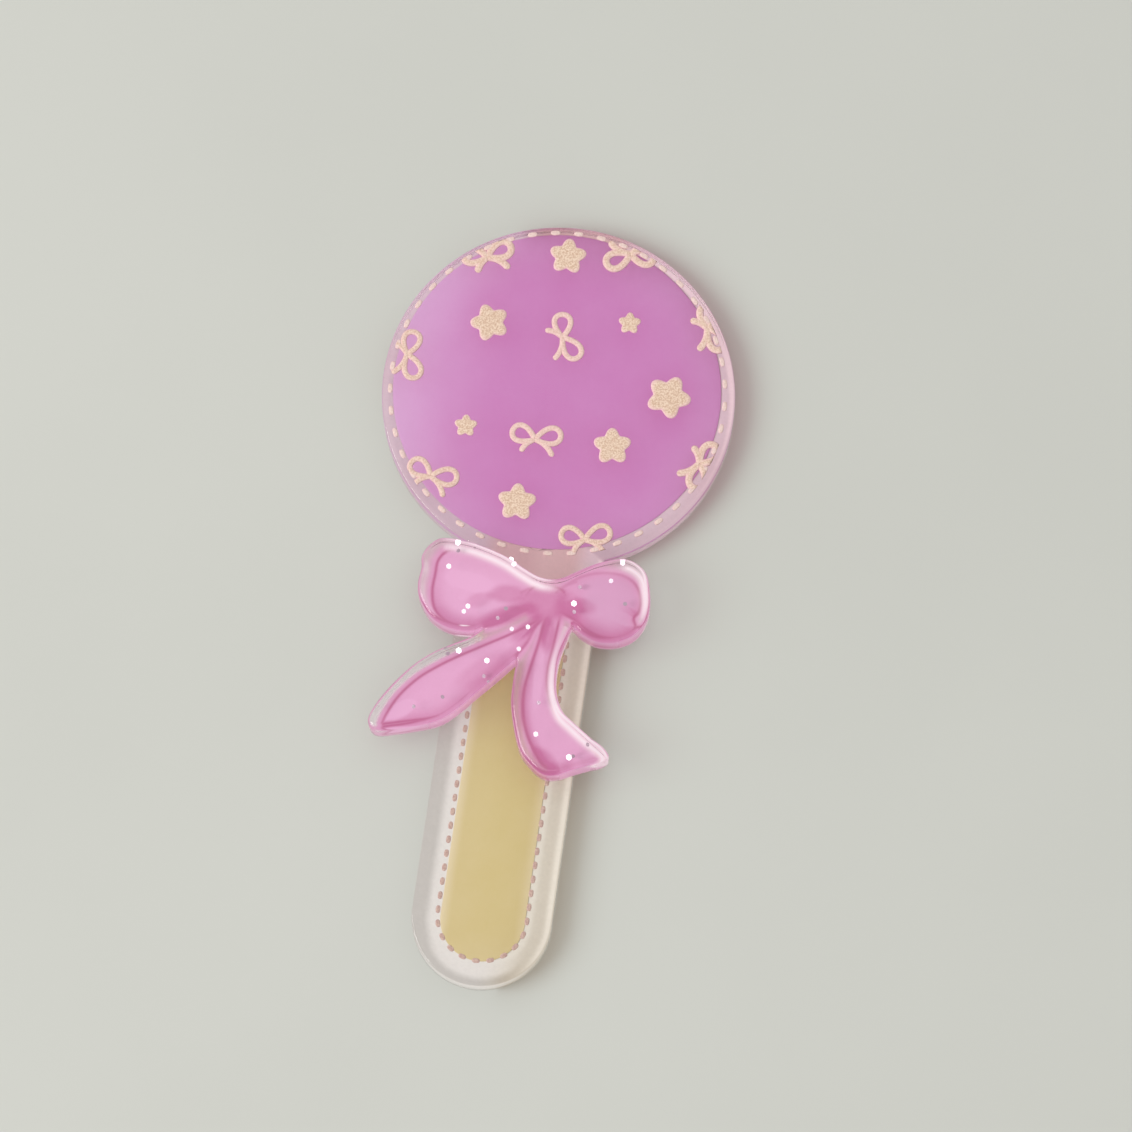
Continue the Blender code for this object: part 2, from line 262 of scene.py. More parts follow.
face_acrylic = clear_acrylic("acrylic face", (0.99, 0.98, 0.98, 1), (0.98, 0.97, 0.97, 1),
                             0.04, (0.95, 0.95, 0.95), 0.004)
near_edge, far_edge, head_far_edge = (
    clear_acrylic(name, (0.98, 0.97, 0.96, 1), (0.95, 0.94, 0.94, 1), 0.2, lamp_share, 0.01)
    for name, lamp_share in (("acrylic edge to the lamp", (0.88, 0.87, 0.87)),
                             ("stick edge from the lamp", (0.36, 0.25, 0.16)),
                             ("head edge from the lamp", (0.37, 0.12, 0.17))))
plate_rings, plate_poles = slab_rings(plate_outline, PLATE_HUB, 0.0, PLATE_THICKNESS,
                                      PLATE_EDGE_ROUND)
plate = shells("plate", plate_rings, plate_poles,
               (face_acrylic, near_edge, far_edge, head_far_edge))
split_edge(plate, parting_y=HEAD_EDGE_Y)
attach(plate, "root")
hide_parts("clear_plate")


# Back coat: a thin milky film on the plate's back, with the light of the clear rim painted on it:
# grey along the edge to the lamp, white further in and along the far edge, a painted glow along the
# far edge, lilac round the purple, and a painted warm shade at the neck under the bow.

COAT_LOW = 0.005
COAT_HIGH = 0.020
COAT_DEPTHS = np.concatenate((np.linspace(0.04, 2.0, 33), (2.2, 2.5)))


def give_facts(piece, **facts):
    """Stores one number for each point of a piece under each name."""
    for fact, values in facts.items():
        layer = piece.data.attributes.new(fact, "FLOAT", "POINT")
        layer.data.foreach_set("value", values)


def soft_step(values, low, high):
    """0 up to low and 1 from high on: 3 s^2 - 2 s^3 of the share s of the way."""
    share = np.clip((values - low) / (high - low), 0, 1)
    return share * share * (3 - 2 * share)


def hump(values, middle, width):
    """1 at the middle and falling off to both sides: exp(-(distance / width)^2)."""
    return np.exp(-((values - middle) / width) ** 2)


def outward(outline):
    """For each point of a counter-clockwise outline, the direction straight out of it."""
    along = np.roll(outline, -1, axis=0) - np.roll(outline, 1, axis=0)
    along /= np.linalg.norm(along, axis=1)[:, None]
    return np.stack((along[:, 1], -along[:, 0]), axis=1)


coat_flat = np.array([plate_outline(depth) for depth in COAT_DEPTHS])
coat_flat = np.concatenate((coat_flat, [PLATE_HUB + share * (coat_flat[-1] - PLATE_HUB)
                                        for share in (0.75, 0.5, 0.25)]))
coat_rows = len(coat_flat)
coat_level = np.concatenate((np.full(coat_rows, COAT_LOW), np.full(coat_rows, COAT_HIGH)))
coat_flat = np.concatenate((coat_flat[::-1], coat_flat))
coat_rings = np.concatenate((coat_flat, np.broadcast_to(coat_level[:, None, None],
                                                        (*coat_flat.shape[:2], 1))), axis=-1)
coat_depth = np.concatenate((COAT_DEPTHS, np.full(3, 3.0)))
coat_depth = np.concatenate((coat_depth[::-1], coat_depth))[:, None]
coat_out = outward(plate_outline(0.5))
coat_away = -(coat_out @ (to_lamp[:2] / np.linalg.norm(to_lamp[:2])))
coat_foot = soft_step(-coat_out[:, 1], 0.3, 0.9)
coat_head = soft_step(coat_flat[..., 1], 1.0, 4.0)
coat_far = soft_step(coat_away, 0.0, 0.8)
# Painted light: how lit each ring of the coat is drawn (grey along the edge to the lamp, white
# further in and near the far edge), and a painted glow along the edges away from the lamp.
near_light = (soft_step(coat_depth, 0.75, 1.50) * (1 - coat_foot)
              + soft_step(coat_depth, 0.52, 1.08) * coat_foot)
far_light = 0.35 + 0.65 * np.maximum(hump(coat_depth, 0.28, 0.30),
                                     0.6 * soft_step(coat_depth, 1.25, 1.7))
stick_light = near_light + (far_light - near_light) * coat_far
head_light = np.maximum(hump(coat_depth, 0.22, 0.26), 0.45 * coat_far) * (0.35 + 0.65 * coat_far)
painted_coat_light = stick_light + (head_light - stick_light) * coat_head
stick_glow = coat_far * (0.35 + 0.65 * hump(coat_depth, 0.28, 0.30))
head_glow = soft_step(coat_away, -0.2, 0.5) * (0.4 + 0.6 * hump(coat_depth, 0.15, 0.30))
painted_coat_glow = stick_glow + (head_glow - stick_glow) * coat_head


def axis_mm(wire, axis):
    """One of the piece's own coordinates, in millimetres."""
    place = wire.node("ShaderNodeTexCoord", output="Object")
    return wire.node("ShaderNodeSeparateXYZ", None, {0: place}, axis) / MM


def srgb(red, green, blue):
    """A colour from 0 to 255 a channel, as Blender's linear values."""
    shares = np.array((red, green, blue)) / 255
    linear = np.where(shares < 0.04045, shares / 12.92, ((shares + 0.055) / 1.055) ** 2.4)
    return (*linear.tolist(), 1.0)


coat_ink, coat_shader, coat_wire = new_material("milky film with painted light")
coat_x, coat_y = axis_mm(coat_wire, "X"), axis_mm(coat_wire, "Y")
head_wire = coat_y.ramp(1.0, 4.0)
# Painted warm shade at the neck, beside and under the bow, over the painted light of stick and
# head; the stick's tones are a little warmer right of the middle.
neck_painted_shade = (4.4 - coat_x.most(0.0 - coat_x)).ramp(0.0, 1.8) * coat_y.ramp(-0.5, 1.0)
painted_light_wire = coat_wire.fact("light") + coat_wire.noise(1.2, 2.0) * 0.24 - 0.12
painted_light_wire = painted_light_wire.least(1.0).most(0.0)
coat_warm = coat_x.ramp(0.0, 3.0)
stick_tone = painted_light_wire.between(coat_warm.between(srgb(212, 207, 202), srgb(213, 203, 186)),
                                coat_warm.between(srgb(243, 238, 234), srgb(246, 240, 230)))
head_tone = painted_light_wire.between(srgb(220, 193, 208), srgb(250, 224, 236))
coat_tone = neck_painted_shade.between(head_wire.between(stick_tone, head_tone), srgb(224, 184, 189))
# The emission is a painted glow, brightest along the edges away from the lamp.
feed(coat_shader, {
    "Base Color": coat_tone, "Roughness": 0.6, "Specular IOR Level": 0.0,
    "Alpha": coat_wire.noise(4.0) * 0.1 + 0.85, "Emission Strength": 1.0,
    "Emission Color": coat_wire.fact("glow").between(srgb(0, 0, 0), srgb(100, 100, 94))})
painted_rim_coat = shells("painted_rim_coat", coat_rings[None],
                   np.array([[(*PLATE_HUB, COAT_LOW), (*PLATE_HUB, COAT_HIGH)]]), (coat_ink,))
give_facts(painted_rim_coat, **{fact: np.concatenate((values[:1].mean(axis=1), values.ravel(),
                                               values[-1:].mean(axis=1)))
                         for fact, values in (("light", painted_coat_light), ("glow", painted_coat_glow))})
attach(painted_rim_coat, "root")


# Purple colour of the head: orchid ink printed on the plate's back, painted paler to the left and
# round its border as light let in by the clear edge. It shows through the clear sheet.

PURPLE_CENTRE = np.array((-0.20, 16.86))
PURPLE_RADIUS = 12.6
INK_LOW = 0.03
INK_HIGH = 0.08
INK_ROUND = 0.02


def ink_material(name, deep, pale, pale_share):
    """Printed ink: colour between deep and pale by a share of position, mottled a little."""
    material, shader, wire = new_material(name)
    mottle = wire.noise(0.35, 4.0) * 0.16 + wire.noise(4.0, 2.0) * 0.10 - 0.13
    share = (pale_share(wire) + mottle).least(1.0).most(0.0)
    feed(shader, {"Base Color": share.between(deep, pale), "Roughness": mottle + 0.5,
                  "Normal": wire.bump(wire.noise(3.0), 0.004), "Specular IOR Level": 0.0})
    return material


def purple_lit_pale(wire):
    """Painted light: paler to the left, most near the left edge, and a little paler all round the
    border.
    """
    x, y = axis_mm(wire, "X"), axis_mm(wire, "Y")
    across, up = x - PURPLE_CENTRE[0], y - PURPLE_CENTRE[1]
    border = ((across * across + up * up) ** 0.5).ramp(8.5, PURPLE_RADIUS)
    return (0.0 - x).ramp(3.5, 14.0) * 0.47 + border * 0.18 + 0.10


purple_ink = ink_material("orchid ink", srgb(205, 125, 189), srgb(230, 184, 228), purple_lit_pale)


def disc_outline(depth):
    """A circle in 160 steps."""
    return arc(PURPLE_CENTRE, PURPLE_RADIUS - depth, 0, 360, 160)[:-1]


purple_rings, purple_poles = slab_rings(disc_outline, PURPLE_CENTRE, INK_LOW, INK_HIGH, INK_ROUND)
purple = shells("purple_colour", purple_rings, purple_poles, (purple_ink,))
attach(purple, "root")
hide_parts("purple_disc")


# Yellow colour of the stick: creamy ink printed on the plate's back as a round-ended strip. It is
# paler along its sides, and on the left that paleness is painted light; it ends under the knot of
# the bow.

YELLOW_X = 0.05
YELLOW_HALF_WIDTH = 3.15
YELLOW_TOP_Y = 0.6
YELLOW_END_Y = -24.47
YELLOW_HUB = np.array((YELLOW_X, -10.0))


def strip_outline(depth):
    """Square top, straight sides and a half circle at the foot."""
    half = YELLOW_HALF_WIDTH - depth
    end = arc((YELLOW_X, YELLOW_END_Y), half, 180, 360, 60)
    right = np.linspace(end[-1], (YELLOW_X + half, YELLOW_TOP_Y - depth), 31)[1:]
    top = np.linspace(right[-1], (YELLOW_X - half, YELLOW_TOP_Y - depth), 9)[1:]
    left = np.linspace(top[-1], end[0], 31)[1:-1]
    return np.vstack((end, right, top, left))


def yellow_pale_and_lit(wire):
    """Paler along both sides and more on the left, where the paleness is painted light."""
    x, y = axis_mm(wire, "X"), axis_mm(wire, "Y")
    left = (0.0 - x).ramp(2.2, 3.3) * 0.60 + (0.0 - x).ramp(-0.5, 2.5) * 0.06
    foot = (0.0 - y).ramp(24.5, 27.6) * 0.12
    return left.most(x.ramp(2.3, 3.4) * 0.4).most(foot) + 0.15


yellow_ink = ink_material("cream yellow ink", srgb(211, 190, 128), srgb(238, 222, 190),
                          yellow_pale_and_lit)
yellow_rings, yellow_poles = slab_rings(strip_outline, YELLOW_HUB, INK_LOW, INK_HIGH, INK_ROUND)
yellow = shells("yellow_colour", yellow_rings, yellow_poles, (yellow_ink,))
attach(yellow, "root")
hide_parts("yellow_strip")


# Stars: seven plump stars in grainy cream ink, scattered over the face of the head. The ink is
# printed thick enough to stand up from the sheet, and thins out pale pink at its edge.

PRINT_LOW = PLATE_THICKNESS - 0.03
PRINT_HEIGHT = 0.10
# Each star's place from the middle of the head, its reach and the way its first tip points.
STARS = np.array((
    (-0.83, 11.10, 1.46, 91.0),
    (-6.02, 4.98, 1.51, 116.0),
    (4.62, 6.39, 0.89, 94.5),
    (8.35, 0.97, 1.74, 70.0),
    (-6.65, -3.46, 0.90, 94.6),
    (4.64, -3.53, 1.48, 98.0),
    (-1.93, -8.90, 1.50, 93.3),
))
STAR_VALLEY = 0.68
# How much of each row of a star is its thin edge, from the back up to the middle of its top.
STAR_EDGE = np.array((1.0, 1.0, 1.0, 0.9, 0.4, 0.0, 0.0))


def printed_ink(name, light, dark):
    """Raised ink with a sandy grain: light and dark grains, each a small bump, and a pale pink
    edge where the ink thins out."""
    material, shader, wire = new_material(name)
    grains = wire.noise(8.0, 4.0).ramp(0.34, 0.66)
    ink = (wire.fact("edge") * 0.85).between(grains.between(dark, light), srgb(246, 204, 208))
    feed(shader, {"Base Color": ink, "Roughness": grains * 0.1 + 0.7,
                  "Normal": wire.bump(grains, 0.008), "Specular IOR Level": 0.3})
    return material


cream_ink = printed_ink("grainy cream ink", srgb(242, 218, 198), srgb(212, 177, 152))


def with_poles(values):
    """One number for each point of some shells, from those of their rings and 0 at the poles."""
    return np.pad(values.reshape(len(values), -1), ((0, 0), (1, 1))).ravel()


def star_rings(stars, columns=60):
    """Five-pointed outline r = tip * (valley + (1 - valley) * (0.5 + 0.5 cos 5a)^0.8), drawn as a
    low button: straight sides, a rounded shoulder and a nearly flat top."""
    turn = np.linspace(0, 2 * math.pi, columns, endpoint=False)
    reach = STAR_VALLEY + (1 - STAR_VALLEY) * (0.5 + 0.5 * np.cos(5 * turn)) ** 0.8
    profile = np.array(((0.6, 0.0), (1.0, 0.0), (1.0, 0.35), (0.97, 0.7), (0.90, 0.93),
                        (0.78, 1.0), (0.4, 1.0)))
    angle = turn[None] + np.radians(stars[:, 3])[:, None]
    radius = stars[:, 2][:, None, None] * profile[None, :, :1] * reach[None, None]
    height = PRINT_LOW + (PLATE_THICKNESS + PRINT_HEIGHT - PRINT_LOW) * profile[:, 1]
    centre = HEAD_CENTRE + stars[:, :2]
    x = centre[:, 0][:, None, None] + radius * np.cos(angle)[:, None]
    y = centre[:, 1][:, None, None] + radius * np.sin(angle)[:, None]
    z = np.broadcast_to(height[None, :, None], x.shape)
    poles = np.stack((at_height(centre, height[0]), at_height(centre, height[-1])), axis=1)
    return np.stack((x, y, z), axis=-1), poles


def raised_print(name, rings, poles, ink, edge):
    """Shells of ink that know how much of each ring is their thin edge. The sheet under them
    casts the shadow, so they cast none."""
    piece = shells(name, rings, poles, (ink,))
    give_facts(piece, edge=with_poles(np.broadcast_to(edge, rings.shape[:3])))
    piece.visible_shadow = False
    return piece


stars = raised_print("stars", *star_rings(STARS), cream_ink, STAR_EDGE[:, None])
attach(stars, "root")


# Line bows: nine small bows drawn with a thick line of the same grainy cream ink. Those at the
# edge are cut off where the print ends, at the ring of stitches.

# Each bow's place from the middle of the head, and its turn. The line of the first two is rosier.
LINE_BOWS = np.array((
    (-0.33, 4.56, -57.0),
    (-1.27, -3.80, 8.0),
    (-6.96, 10.16, 25.0),
    (3.92, 11.97, 201.0),
    (10.58, 6.82, -59.0),
    (-11.94, 1.58, -74.0),
    (-8.72, -7.80, -6.0),
    (11.38, -3.94, -102.0),
    (3.59, -11.11, 17.0),
))
LINE_WIDTH = 0.46
EDGE_LINE_WIDTH = 0.58
EDGE_BOWS = (2, 3, 4, 7)
# Which way each loop and each tail leaves the knot, and its length.
LINE_LOOPS = ((155.0, 1.85), (12.0, 2.0))
LINE_TAILS = ((222.0, 1.45), (-46.0, 1.9))
LINE_LOOP_WIDTH = 1.25
RING_CENTRE = np.array((-0.09, 16.4))
RING_RADIUS = 12.8
RING_DASH_WIDTH = 0.38


def turned(points, degrees):
    """Points in the plane turned about the origin."""
    turn = math.radians(degrees)
    return points @ np.array(((math.cos(turn), math.sin(turn)), (-math.sin(turn), math.cos(turn))))


def loop_path(length, steps=40):
    """A teardrop from the knot out and back: length * (1 - cos t) / 2 along, and across in
    proportion to sin t * sin(t / 2)."""
    swing = np.linspace(0.05 * math.pi, 1.95 * math.pi, steps)
    along = length * (1 - np.cos(swing)) / 2
    across = LINE_LOOP_WIDTH / 2 * np.sin(swing) * np.sin(swing / 2) / 0.77
    return np.stack((along, across), axis=-1)


def tail_path(length, bend, steps=40):
    """A shallow arch from the knot to the tail's end."""
    share = np.linspace(-0.05, 1, steps)
    return np.stack((length * share, bend * length * share * (1 - share) * 4), axis=-1)


def bead_rings(paths, widths, low, high, section=12):
    """A bead of ink along each path: half an ellipse above low, flat below, its width and height
    drawn in at both ends as a quarter circle."""
    width = widths[:, None]
    along = np.gradient(paths, axis=1)
    along /= np.linalg.norm(along, axis=-1, keepdims=True)
    aside = np.stack((-along[..., 1], along[..., 0]), axis=-1)
    step = np.linalg.norm(np.diff(paths, axis=1), axis=-1)
    run = np.concatenate((np.zeros((len(paths), 1)), np.cumsum(step, axis=1)), axis=1)
    to_end = np.minimum(run, run[:, -1:] - run) / (0.5 * width)
    fullness = np.sqrt(np.clip(1 - (1 - np.clip(to_end, 0.02, 1)) ** 2, 0, 1))
    turn = np.linspace(0, 2 * math.pi, section, endpoint=False)
    side = np.cos(turn)
    rise = np.maximum(np.sin(turn), 0) ** 0.7
    reach = 0.5 * width[..., None] * fullness[..., None] * side
    flat = paths[:, :, None] + reach[..., None] * aside[:, :, None]
    height = low + (high - low) * fullness[..., None] * rise
    rings = np.concatenate((flat, np.broadcast_to(height, flat.shape[:3])[..., None]), axis=-1)
    ends = paths[:, (0, -1)]
    poles = np.concatenate((ends, np.full((*ends.shape[:2], 1), low + 0.3 * (high - low))), axis=-1)
    return rings, poles


def trimmed(points, radius, low):
    """Points beyond the print's round border drawn in onto it and sunk to low."""
    away = points[..., :2] - RING_CENTRE
    distance = np.linalg.norm(away, axis=-1, keepdims=True)
    outside = distance > radius
    flat = np.where(outside, RING_CENTRE + away * radius / np.maximum(distance, 1e-9),
                    points[..., :2])
    height = np.where(outside, low, points[..., 2:])
    return np.concatenate((flat, height), axis=-1)


strokes = []
for x, y, turn in LINE_BOWS:
    knot = HEAD_CENTRE + (x, y)
    for angle, length in LINE_LOOPS:
        strokes.append(knot + turned(loop_path(length), turn + angle))
    for angle, length in LINE_TAILS:
        bend = 0.12 if math.cos(math.radians(angle)) > 0 else -0.12
        strokes.append(knot + turned(tail_path(length, bend), turn + angle))
stroke_widths = np.repeat(np.where(np.isin(np.arange(len(LINE_BOWS)), EDGE_BOWS),
                                   EDGE_LINE_WIDTH, LINE_WIDTH), 4)
bow_points, bow_poles = bead_rings(np.array(strokes), stroke_widths, PRINT_LOW,
                                   PLATE_THICKNESS + PRINT_HEIGHT)
print_reach = RING_RADIUS + RING_DASH_WIDTH / 2
bead_edge = np.abs(np.cos(np.linspace(0, 2 * math.pi, bow_points.shape[2], endpoint=False))) ** 1.5
rosy = np.where(np.arange(len(LINE_BOWS)) < 2, 0.40, 0.10).repeat(4)[:, None, None]
line_bows = raised_print("line_bows", trimmed(bow_points, print_reach, PRINT_LOW),
                         trimmed(bow_poles, print_reach, PRINT_LOW), cream_ink,
                         rosy + (1 - rosy) * bead_edge)
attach(line_bows, "root")


# Stitches round the head: a ring of 45 short dashes like a sewn seam, printed a little lower than
# the stars in a paler cream ink. The print on the head ends at them.

RING_DASHES = 45
RING_FIRST_ANGLE = 98.7
RING_DASH_LENGTH = 0.75
RING_DASH_HEIGHT = 0.08
DASH_EDGE = np.array((1.0, 1.0, 0.8, 0.3, 0.0))


def dash_rings(centres, angles, length, width, height):
    """Each dash is a low rounded bar: a squarish oval, straight up and rounded over at the top."""
    turn = np.linspace(0, 2 * math.pi, 16, endpoint=False)
    along = 0.5 * length * np.sign(np.cos(turn)) * np.abs(np.cos(turn)) ** 0.7
    across = 0.5 * width * np.sign(np.sin(turn)) * np.abs(np.sin(turn)) ** 0.8
    profile = np.array(((0.6, 0.0), (1.0, 0.0), (1.0, 0.5), (0.88, 0.88), (0.55, 1.0)))
    a = np.radians(angles)[:, None, None]
    u, v = profile[:, :1] * along, profile[:, :1] * across
    x = centres[:, 0][:, None, None] + u * np.cos(a) - v * np.sin(a)
    y = centres[:, 1][:, None, None] + u * np.sin(a) + v * np.cos(a)
    z = np.broadcast_to((PRINT_LOW + (height + PLATE_THICKNESS - PRINT_LOW)
                         * profile[:, 1])[None, :, None], x.shape)
    low, top = at_height(centres, PRINT_LOW), at_height(centres, PLATE_THICKNESS + height)
    return np.stack((x, y, z), axis=-1), np.stack((low, top), axis=1)


ring_angles = RING_FIRST_ANGLE + 360 / RING_DASHES * np.arange(RING_DASHES)
ring_turn = np.radians(ring_angles)
ring_centres = RING_CENTRE + RING_RADIUS * np.stack((np.cos(ring_turn), np.sin(ring_turn)), axis=-1)
ring_points, ring_poles = dash_rings(ring_centres, ring_angles + 90, RING_DASH_LENGTH,
                                     RING_DASH_WIDTH, RING_DASH_HEIGHT)
pale_ink = printed_ink("pale cream ink", srgb(240, 216, 208), srgb(226, 196, 190))
head_stitches = raised_print("head_stitches", ring_points, ring_poles, pale_ink,
                             DASH_EDGE[:, None])
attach(head_stitches, "root")


# Stitches round the yellow strip: shorter dashes in dusty pink ink, printed down one side, round
# the foot and up the other, lower again than those of the head.

SEAM_X = 0.05
SEAM_HALF_WIDTH = 3.32
SEAM_TOP_Y = 2.6
SEAM_PITCH = 1.05
SEAM_DASH_LENGTH = 0.58
SEAM_DASH_WIDTH = 0.35
SEAM_DASH_HEIGHT = 0.05

seam_side = SEAM_TOP_Y - YELLOW_END_Y
seam_length = 2 * seam_side + math.pi * SEAM_HALF_WIDTH
seam_count = round(seam_length / SEAM_PITCH)
seam_run = (np.arange(seam_count) + 0.5) * seam_length / seam_count
seam_turn = np.clip((seam_run - seam_side) / SEAM_HALF_WIDTH, 0, math.pi)
seam_rise = np.where(seam_run < seam_side, seam_side - seam_run,
                     np.maximum(seam_run - seam_length + seam_side, 0))
seam_centres = np.stack((SEAM_X - SEAM_HALF_WIDTH * np.cos(seam_turn),
                         YELLOW_END_Y - SEAM_HALF_WIDTH * np.sin(seam_turn) + seam_rise), axis=-1)
seam_points, seam_poles = dash_rings(seam_centres, 90 + np.degrees(seam_turn), SEAM_DASH_LENGTH,
                                     SEAM_DASH_WIDTH, SEAM_DASH_HEIGHT)
dusty_ink = printed_ink("dusty pink ink", srgb(207, 179, 166), srgb(186, 151, 143))
strip_stitches = raised_print("strip_stitches", seam_points, seam_poles, dusty_ink,
                              0.4 * DASH_EDGE[:, None])
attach(strip_stitches, "root")


# Ribbon bow plate: a second piece of clear acrylic, 2.3 mm thick, cut as a bow with two loops
# and two tails, its upper edge softly rounded, and glued on over the joint of head and stick.

BOW_LOW = PLATE_THICKNESS + 0.16
BOW_HIGH = 4.5
BOW_BACK_ROUND = 0.12
BOW_EDGE_ROUND = 0.35
BOW_OVER_LOOPS = (
    (3.62, -2.15), (4.44, -2.78), (5.66, -3.20), (7.09, -3.05), (8.29, -2.36),
    (9.01, -1.22), (9.20, 0.00), (9.00, 1.31), (8.62, 2.45), (7.92, 3.12),
    (6.90, 3.44), (5.79, 3.20), (4.55, 2.68), (3.34, 1.95), (2.42, 1.36),
    (1.50, 1.12), (0.55, 1.22), (-0.52, 1.67), (-2.08, 2.42), (-3.89, 2.95),
    (-5.37, 3.18), (-6.96, 3.15), (-7.80, 2.55), (-8.28, 1.60), (-8.18, 0.60),
    (-8.27, -0.52), (-8.02, -1.60), (-7.12, -2.85), (-6.00, -3.52), (-4.80, -3.76),
    (-3.70, -3.66), (-2.85, -3.30),
)
BOW_LEFT_TAIL = (
    (-2.85, -3.30), (-3.79, -4.12), (-4.92, -4.78), (-6.30, -5.62), (-7.78, -6.93),
    (-9.25, -8.85), (-10.20, -10.60), (-10.36, -11.60), (-9.70, -12.16), (-8.40, -11.90),
    (-6.73, -11.40), (-5.05, -10.72), (-3.70, -9.50), (-2.72, -8.35), (-1.59, -7.09),
    (-0.08, -5.30),
)
BOW_RIGHT_TAIL = (
    (-0.08, -5.30), (-0.14, -7.18), (0.02, -9.10), (0.97, -11.88), (2.01, -13.10),
    (3.05, -13.74), (4.11, -13.66), (5.18, -13.15), (6.30, -12.65), (7.12, -12.34),
    (7.70, -11.80), (7.25, -11.12), (6.08, -10.42), (4.75, -9.50), (3.80, -8.75),
    (3.20, -7.45), (3.00, -5.86), (3.10, -4.37), (3.62, -2.15),
)


def smooth_path(controls, steps):
    """Catmull-Rom curve through the controls, from the first up to but not at the last."""
    points = np.array(controls, dtype=float)
    points = np.vstack((2 * points[0] - points[1], points, 2 * points[-1] - points[-2]))
    before, start, end, after = points[:-3], points[1:-2], points[2:-1], points[3:]
    share = np.linspace(0, 1, steps, endpoint=False)[:, None, None]
    curve = start + 0.5 * share * (
        end - before
        + share * (2 * before - 5 * start + 4 * end - after)
        + share**2 * (3 * (start - end) + after - before)
    )
    return curve.transpose(1, 0, 2).reshape(-1, 2)


bow_edge = np.vstack([smooth_path(side, 6)
                      for side in (BOW_OVER_LOOPS, BOW_LEFT_TAIL, BOW_RIGHT_TAIL)])


def inset(outline, distance):
    """Each point moved inwards by distance, at right angles to the line between its neighbours,
    but by no more than 0.85 of the radius at a sharp corner: length over the angle it turns."""
    along = np.roll(outline, -2, axis=0) - np.roll(outline, 2, axis=0)
    length = np.linalg.norm(along, axis=1)
    along /= length[:, None]
    before, after = np.roll(along, 2, axis=0), np.roll(along, -2, axis=0)
    bend = np.arctan2(before[:, 0] * after[:, 1] - before[:, 1] * after[:, 0],
                      (before * after).sum(axis=1))
    reach = np.minimum(distance, 0.85 * length / np.maximum(bend, 1e-6))
    return outline + reach[:, None] * np.stack((-along[:, 1], along[:, 0]), axis=1)


def slab(name, rows, materials):
    """A slab with any outline, from its side rows: the first and the last also bound a flat face,
    and those two faces are shaded flat."""
    rows = np.array(rows)
    here = np.arange(rows.shape[0] * rows.shape[1]).reshape(rows.shape[:2])
    there = np.roll(here, -1, axis=1)
    quads = np.stack((here[:-1], there[:-1], there[1:], here[1:]), axis=-1).reshape(-1, 4)
    faces = quads.tolist() + [here[0, ::-1].tolist(), here[-1].tolist()]
    piece = add_piece(name, rows.reshape(-1, 3), faces, materials)
    for face in (-2, -1):
        piece.data.polygons[face].use_smooth = False
    return piece


bow_face = clear_acrylic("bow acrylic face", (0.99, 0.98, 0.99, 1), (0.98, 0.97, 0.98, 1),
                         0.04, (0.95, 0.94, 0.95), 0.004)
bow_near_edge = clear_acrylic("bow edge to the lamp", (0.98, 0.96, 0.97, 1),
                              (0.96, 0.93, 0.95, 1), 0.22, (0.85, 0.82, 0.84), 0.008)
bow_far_edge = clear_acrylic("bow edge from the lamp", (0.98, 0.96, 0.97, 1),
                             (0.96, 0.93, 0.95, 1), 0.35, (0.72, 0.62, 0.64), 0.008)
bow_rows = side_rows(lambda depth: inset(bow_edge, depth), BOW_LOW, BOW_HIGH,
                     BOW_BACK_ROUND, BOW_EDGE_ROUND, 6)
bow_plate = slab("bow_plate", bow_rows, (bow_face, bow_near_edge, bow_far_edge))
split_edge(bow_plate)
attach(bow_plate, "root")
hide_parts("clear_bow")


# Pink print: the drawn ribbon, on the back of the bow plate. Each loop, each tail and the knot
# has a pale middle, a deeper shade to its edge and a rose line round it; outside the line the
# pink runs out into the milky rim of the plate.

PRINT_BACK = BOW_LOW + 0.06
PRINT_STEP = 0.08
PRINT_MARGIN = 0.03
PINK_LEFT_LOOP = (
    (0.30, 0.60), (-1.24, 1.50), (-2.47, 2.08), (-4.06, 2.55), (-5.46, 2.72),
    (-6.59, 2.58), (-7.20, 1.74), (-7.27, 0.60), (-7.30, -0.70), (-6.92, -2.05),
    (-5.98, -2.92), (-4.72, -3.20), (-2.93, -2.98), (-1.92, -2.60), (-0.40, -1.50),
    (0.60, -0.60),
)
PINK_RIGHT_LOOP = (
    (2.00, -0.70), (3.76, -1.57), (4.84, -2.28), (6.09, -2.60), (7.30, -2.45),
    (8.12, -1.95), (8.40, -1.30), (8.18, -0.70), (8.52, -0.15), (8.50, 0.95),
    (7.97, 1.95), (6.98, 2.52), (5.60, 2.60), (4.20, 2.25), (3.13, 1.62), (2.00, 0.50),
)
PINK_KNOT = (
    (-0.05, 0.40), (-0.30, -0.60), (0.42, -1.57), (1.53, -1.89), (2.79, -1.30),
    (2.95, -0.20), (2.60, 0.75), (1.40, 1.02), (0.60, 0.92),
)
PINK_CREASES = (
    ((-0.55, 0.10), (0.10, 0.55)), ((0.10, 0.55), (0.80, 1.00)), ((2.05, 0.50), (2.60, 1.05)),
    ((2.60, 1.05), (3.40, 1.50)), ((1.10, 0.95), (1.90, 0.98)), ((0.05, -1.10), (-0.60, -1.20)),
)
LEFT_TAIL_UPPER = (
    (1.30, -1.50), (-0.73, -2.96), (-2.87, -4.28), (-4.73, -5.43), (-6.04, -6.35),
    (-7.33, -7.43), (-8.54, -8.93), (-9.28, -10.45), (-9.52, -11.30),
)
LEFT_TAIL_LOWER = (
    (1.90, -1.30), (1.04, -2.24), (0.52, -3.65), (-0.19, -4.80), (-1.17, -5.97),
    (-2.28, -7.31), (-3.41, -8.51), (-4.39, -9.60), (-5.44, -10.35), (-7.30, -10.88),
    (-9.40, -11.45),
)
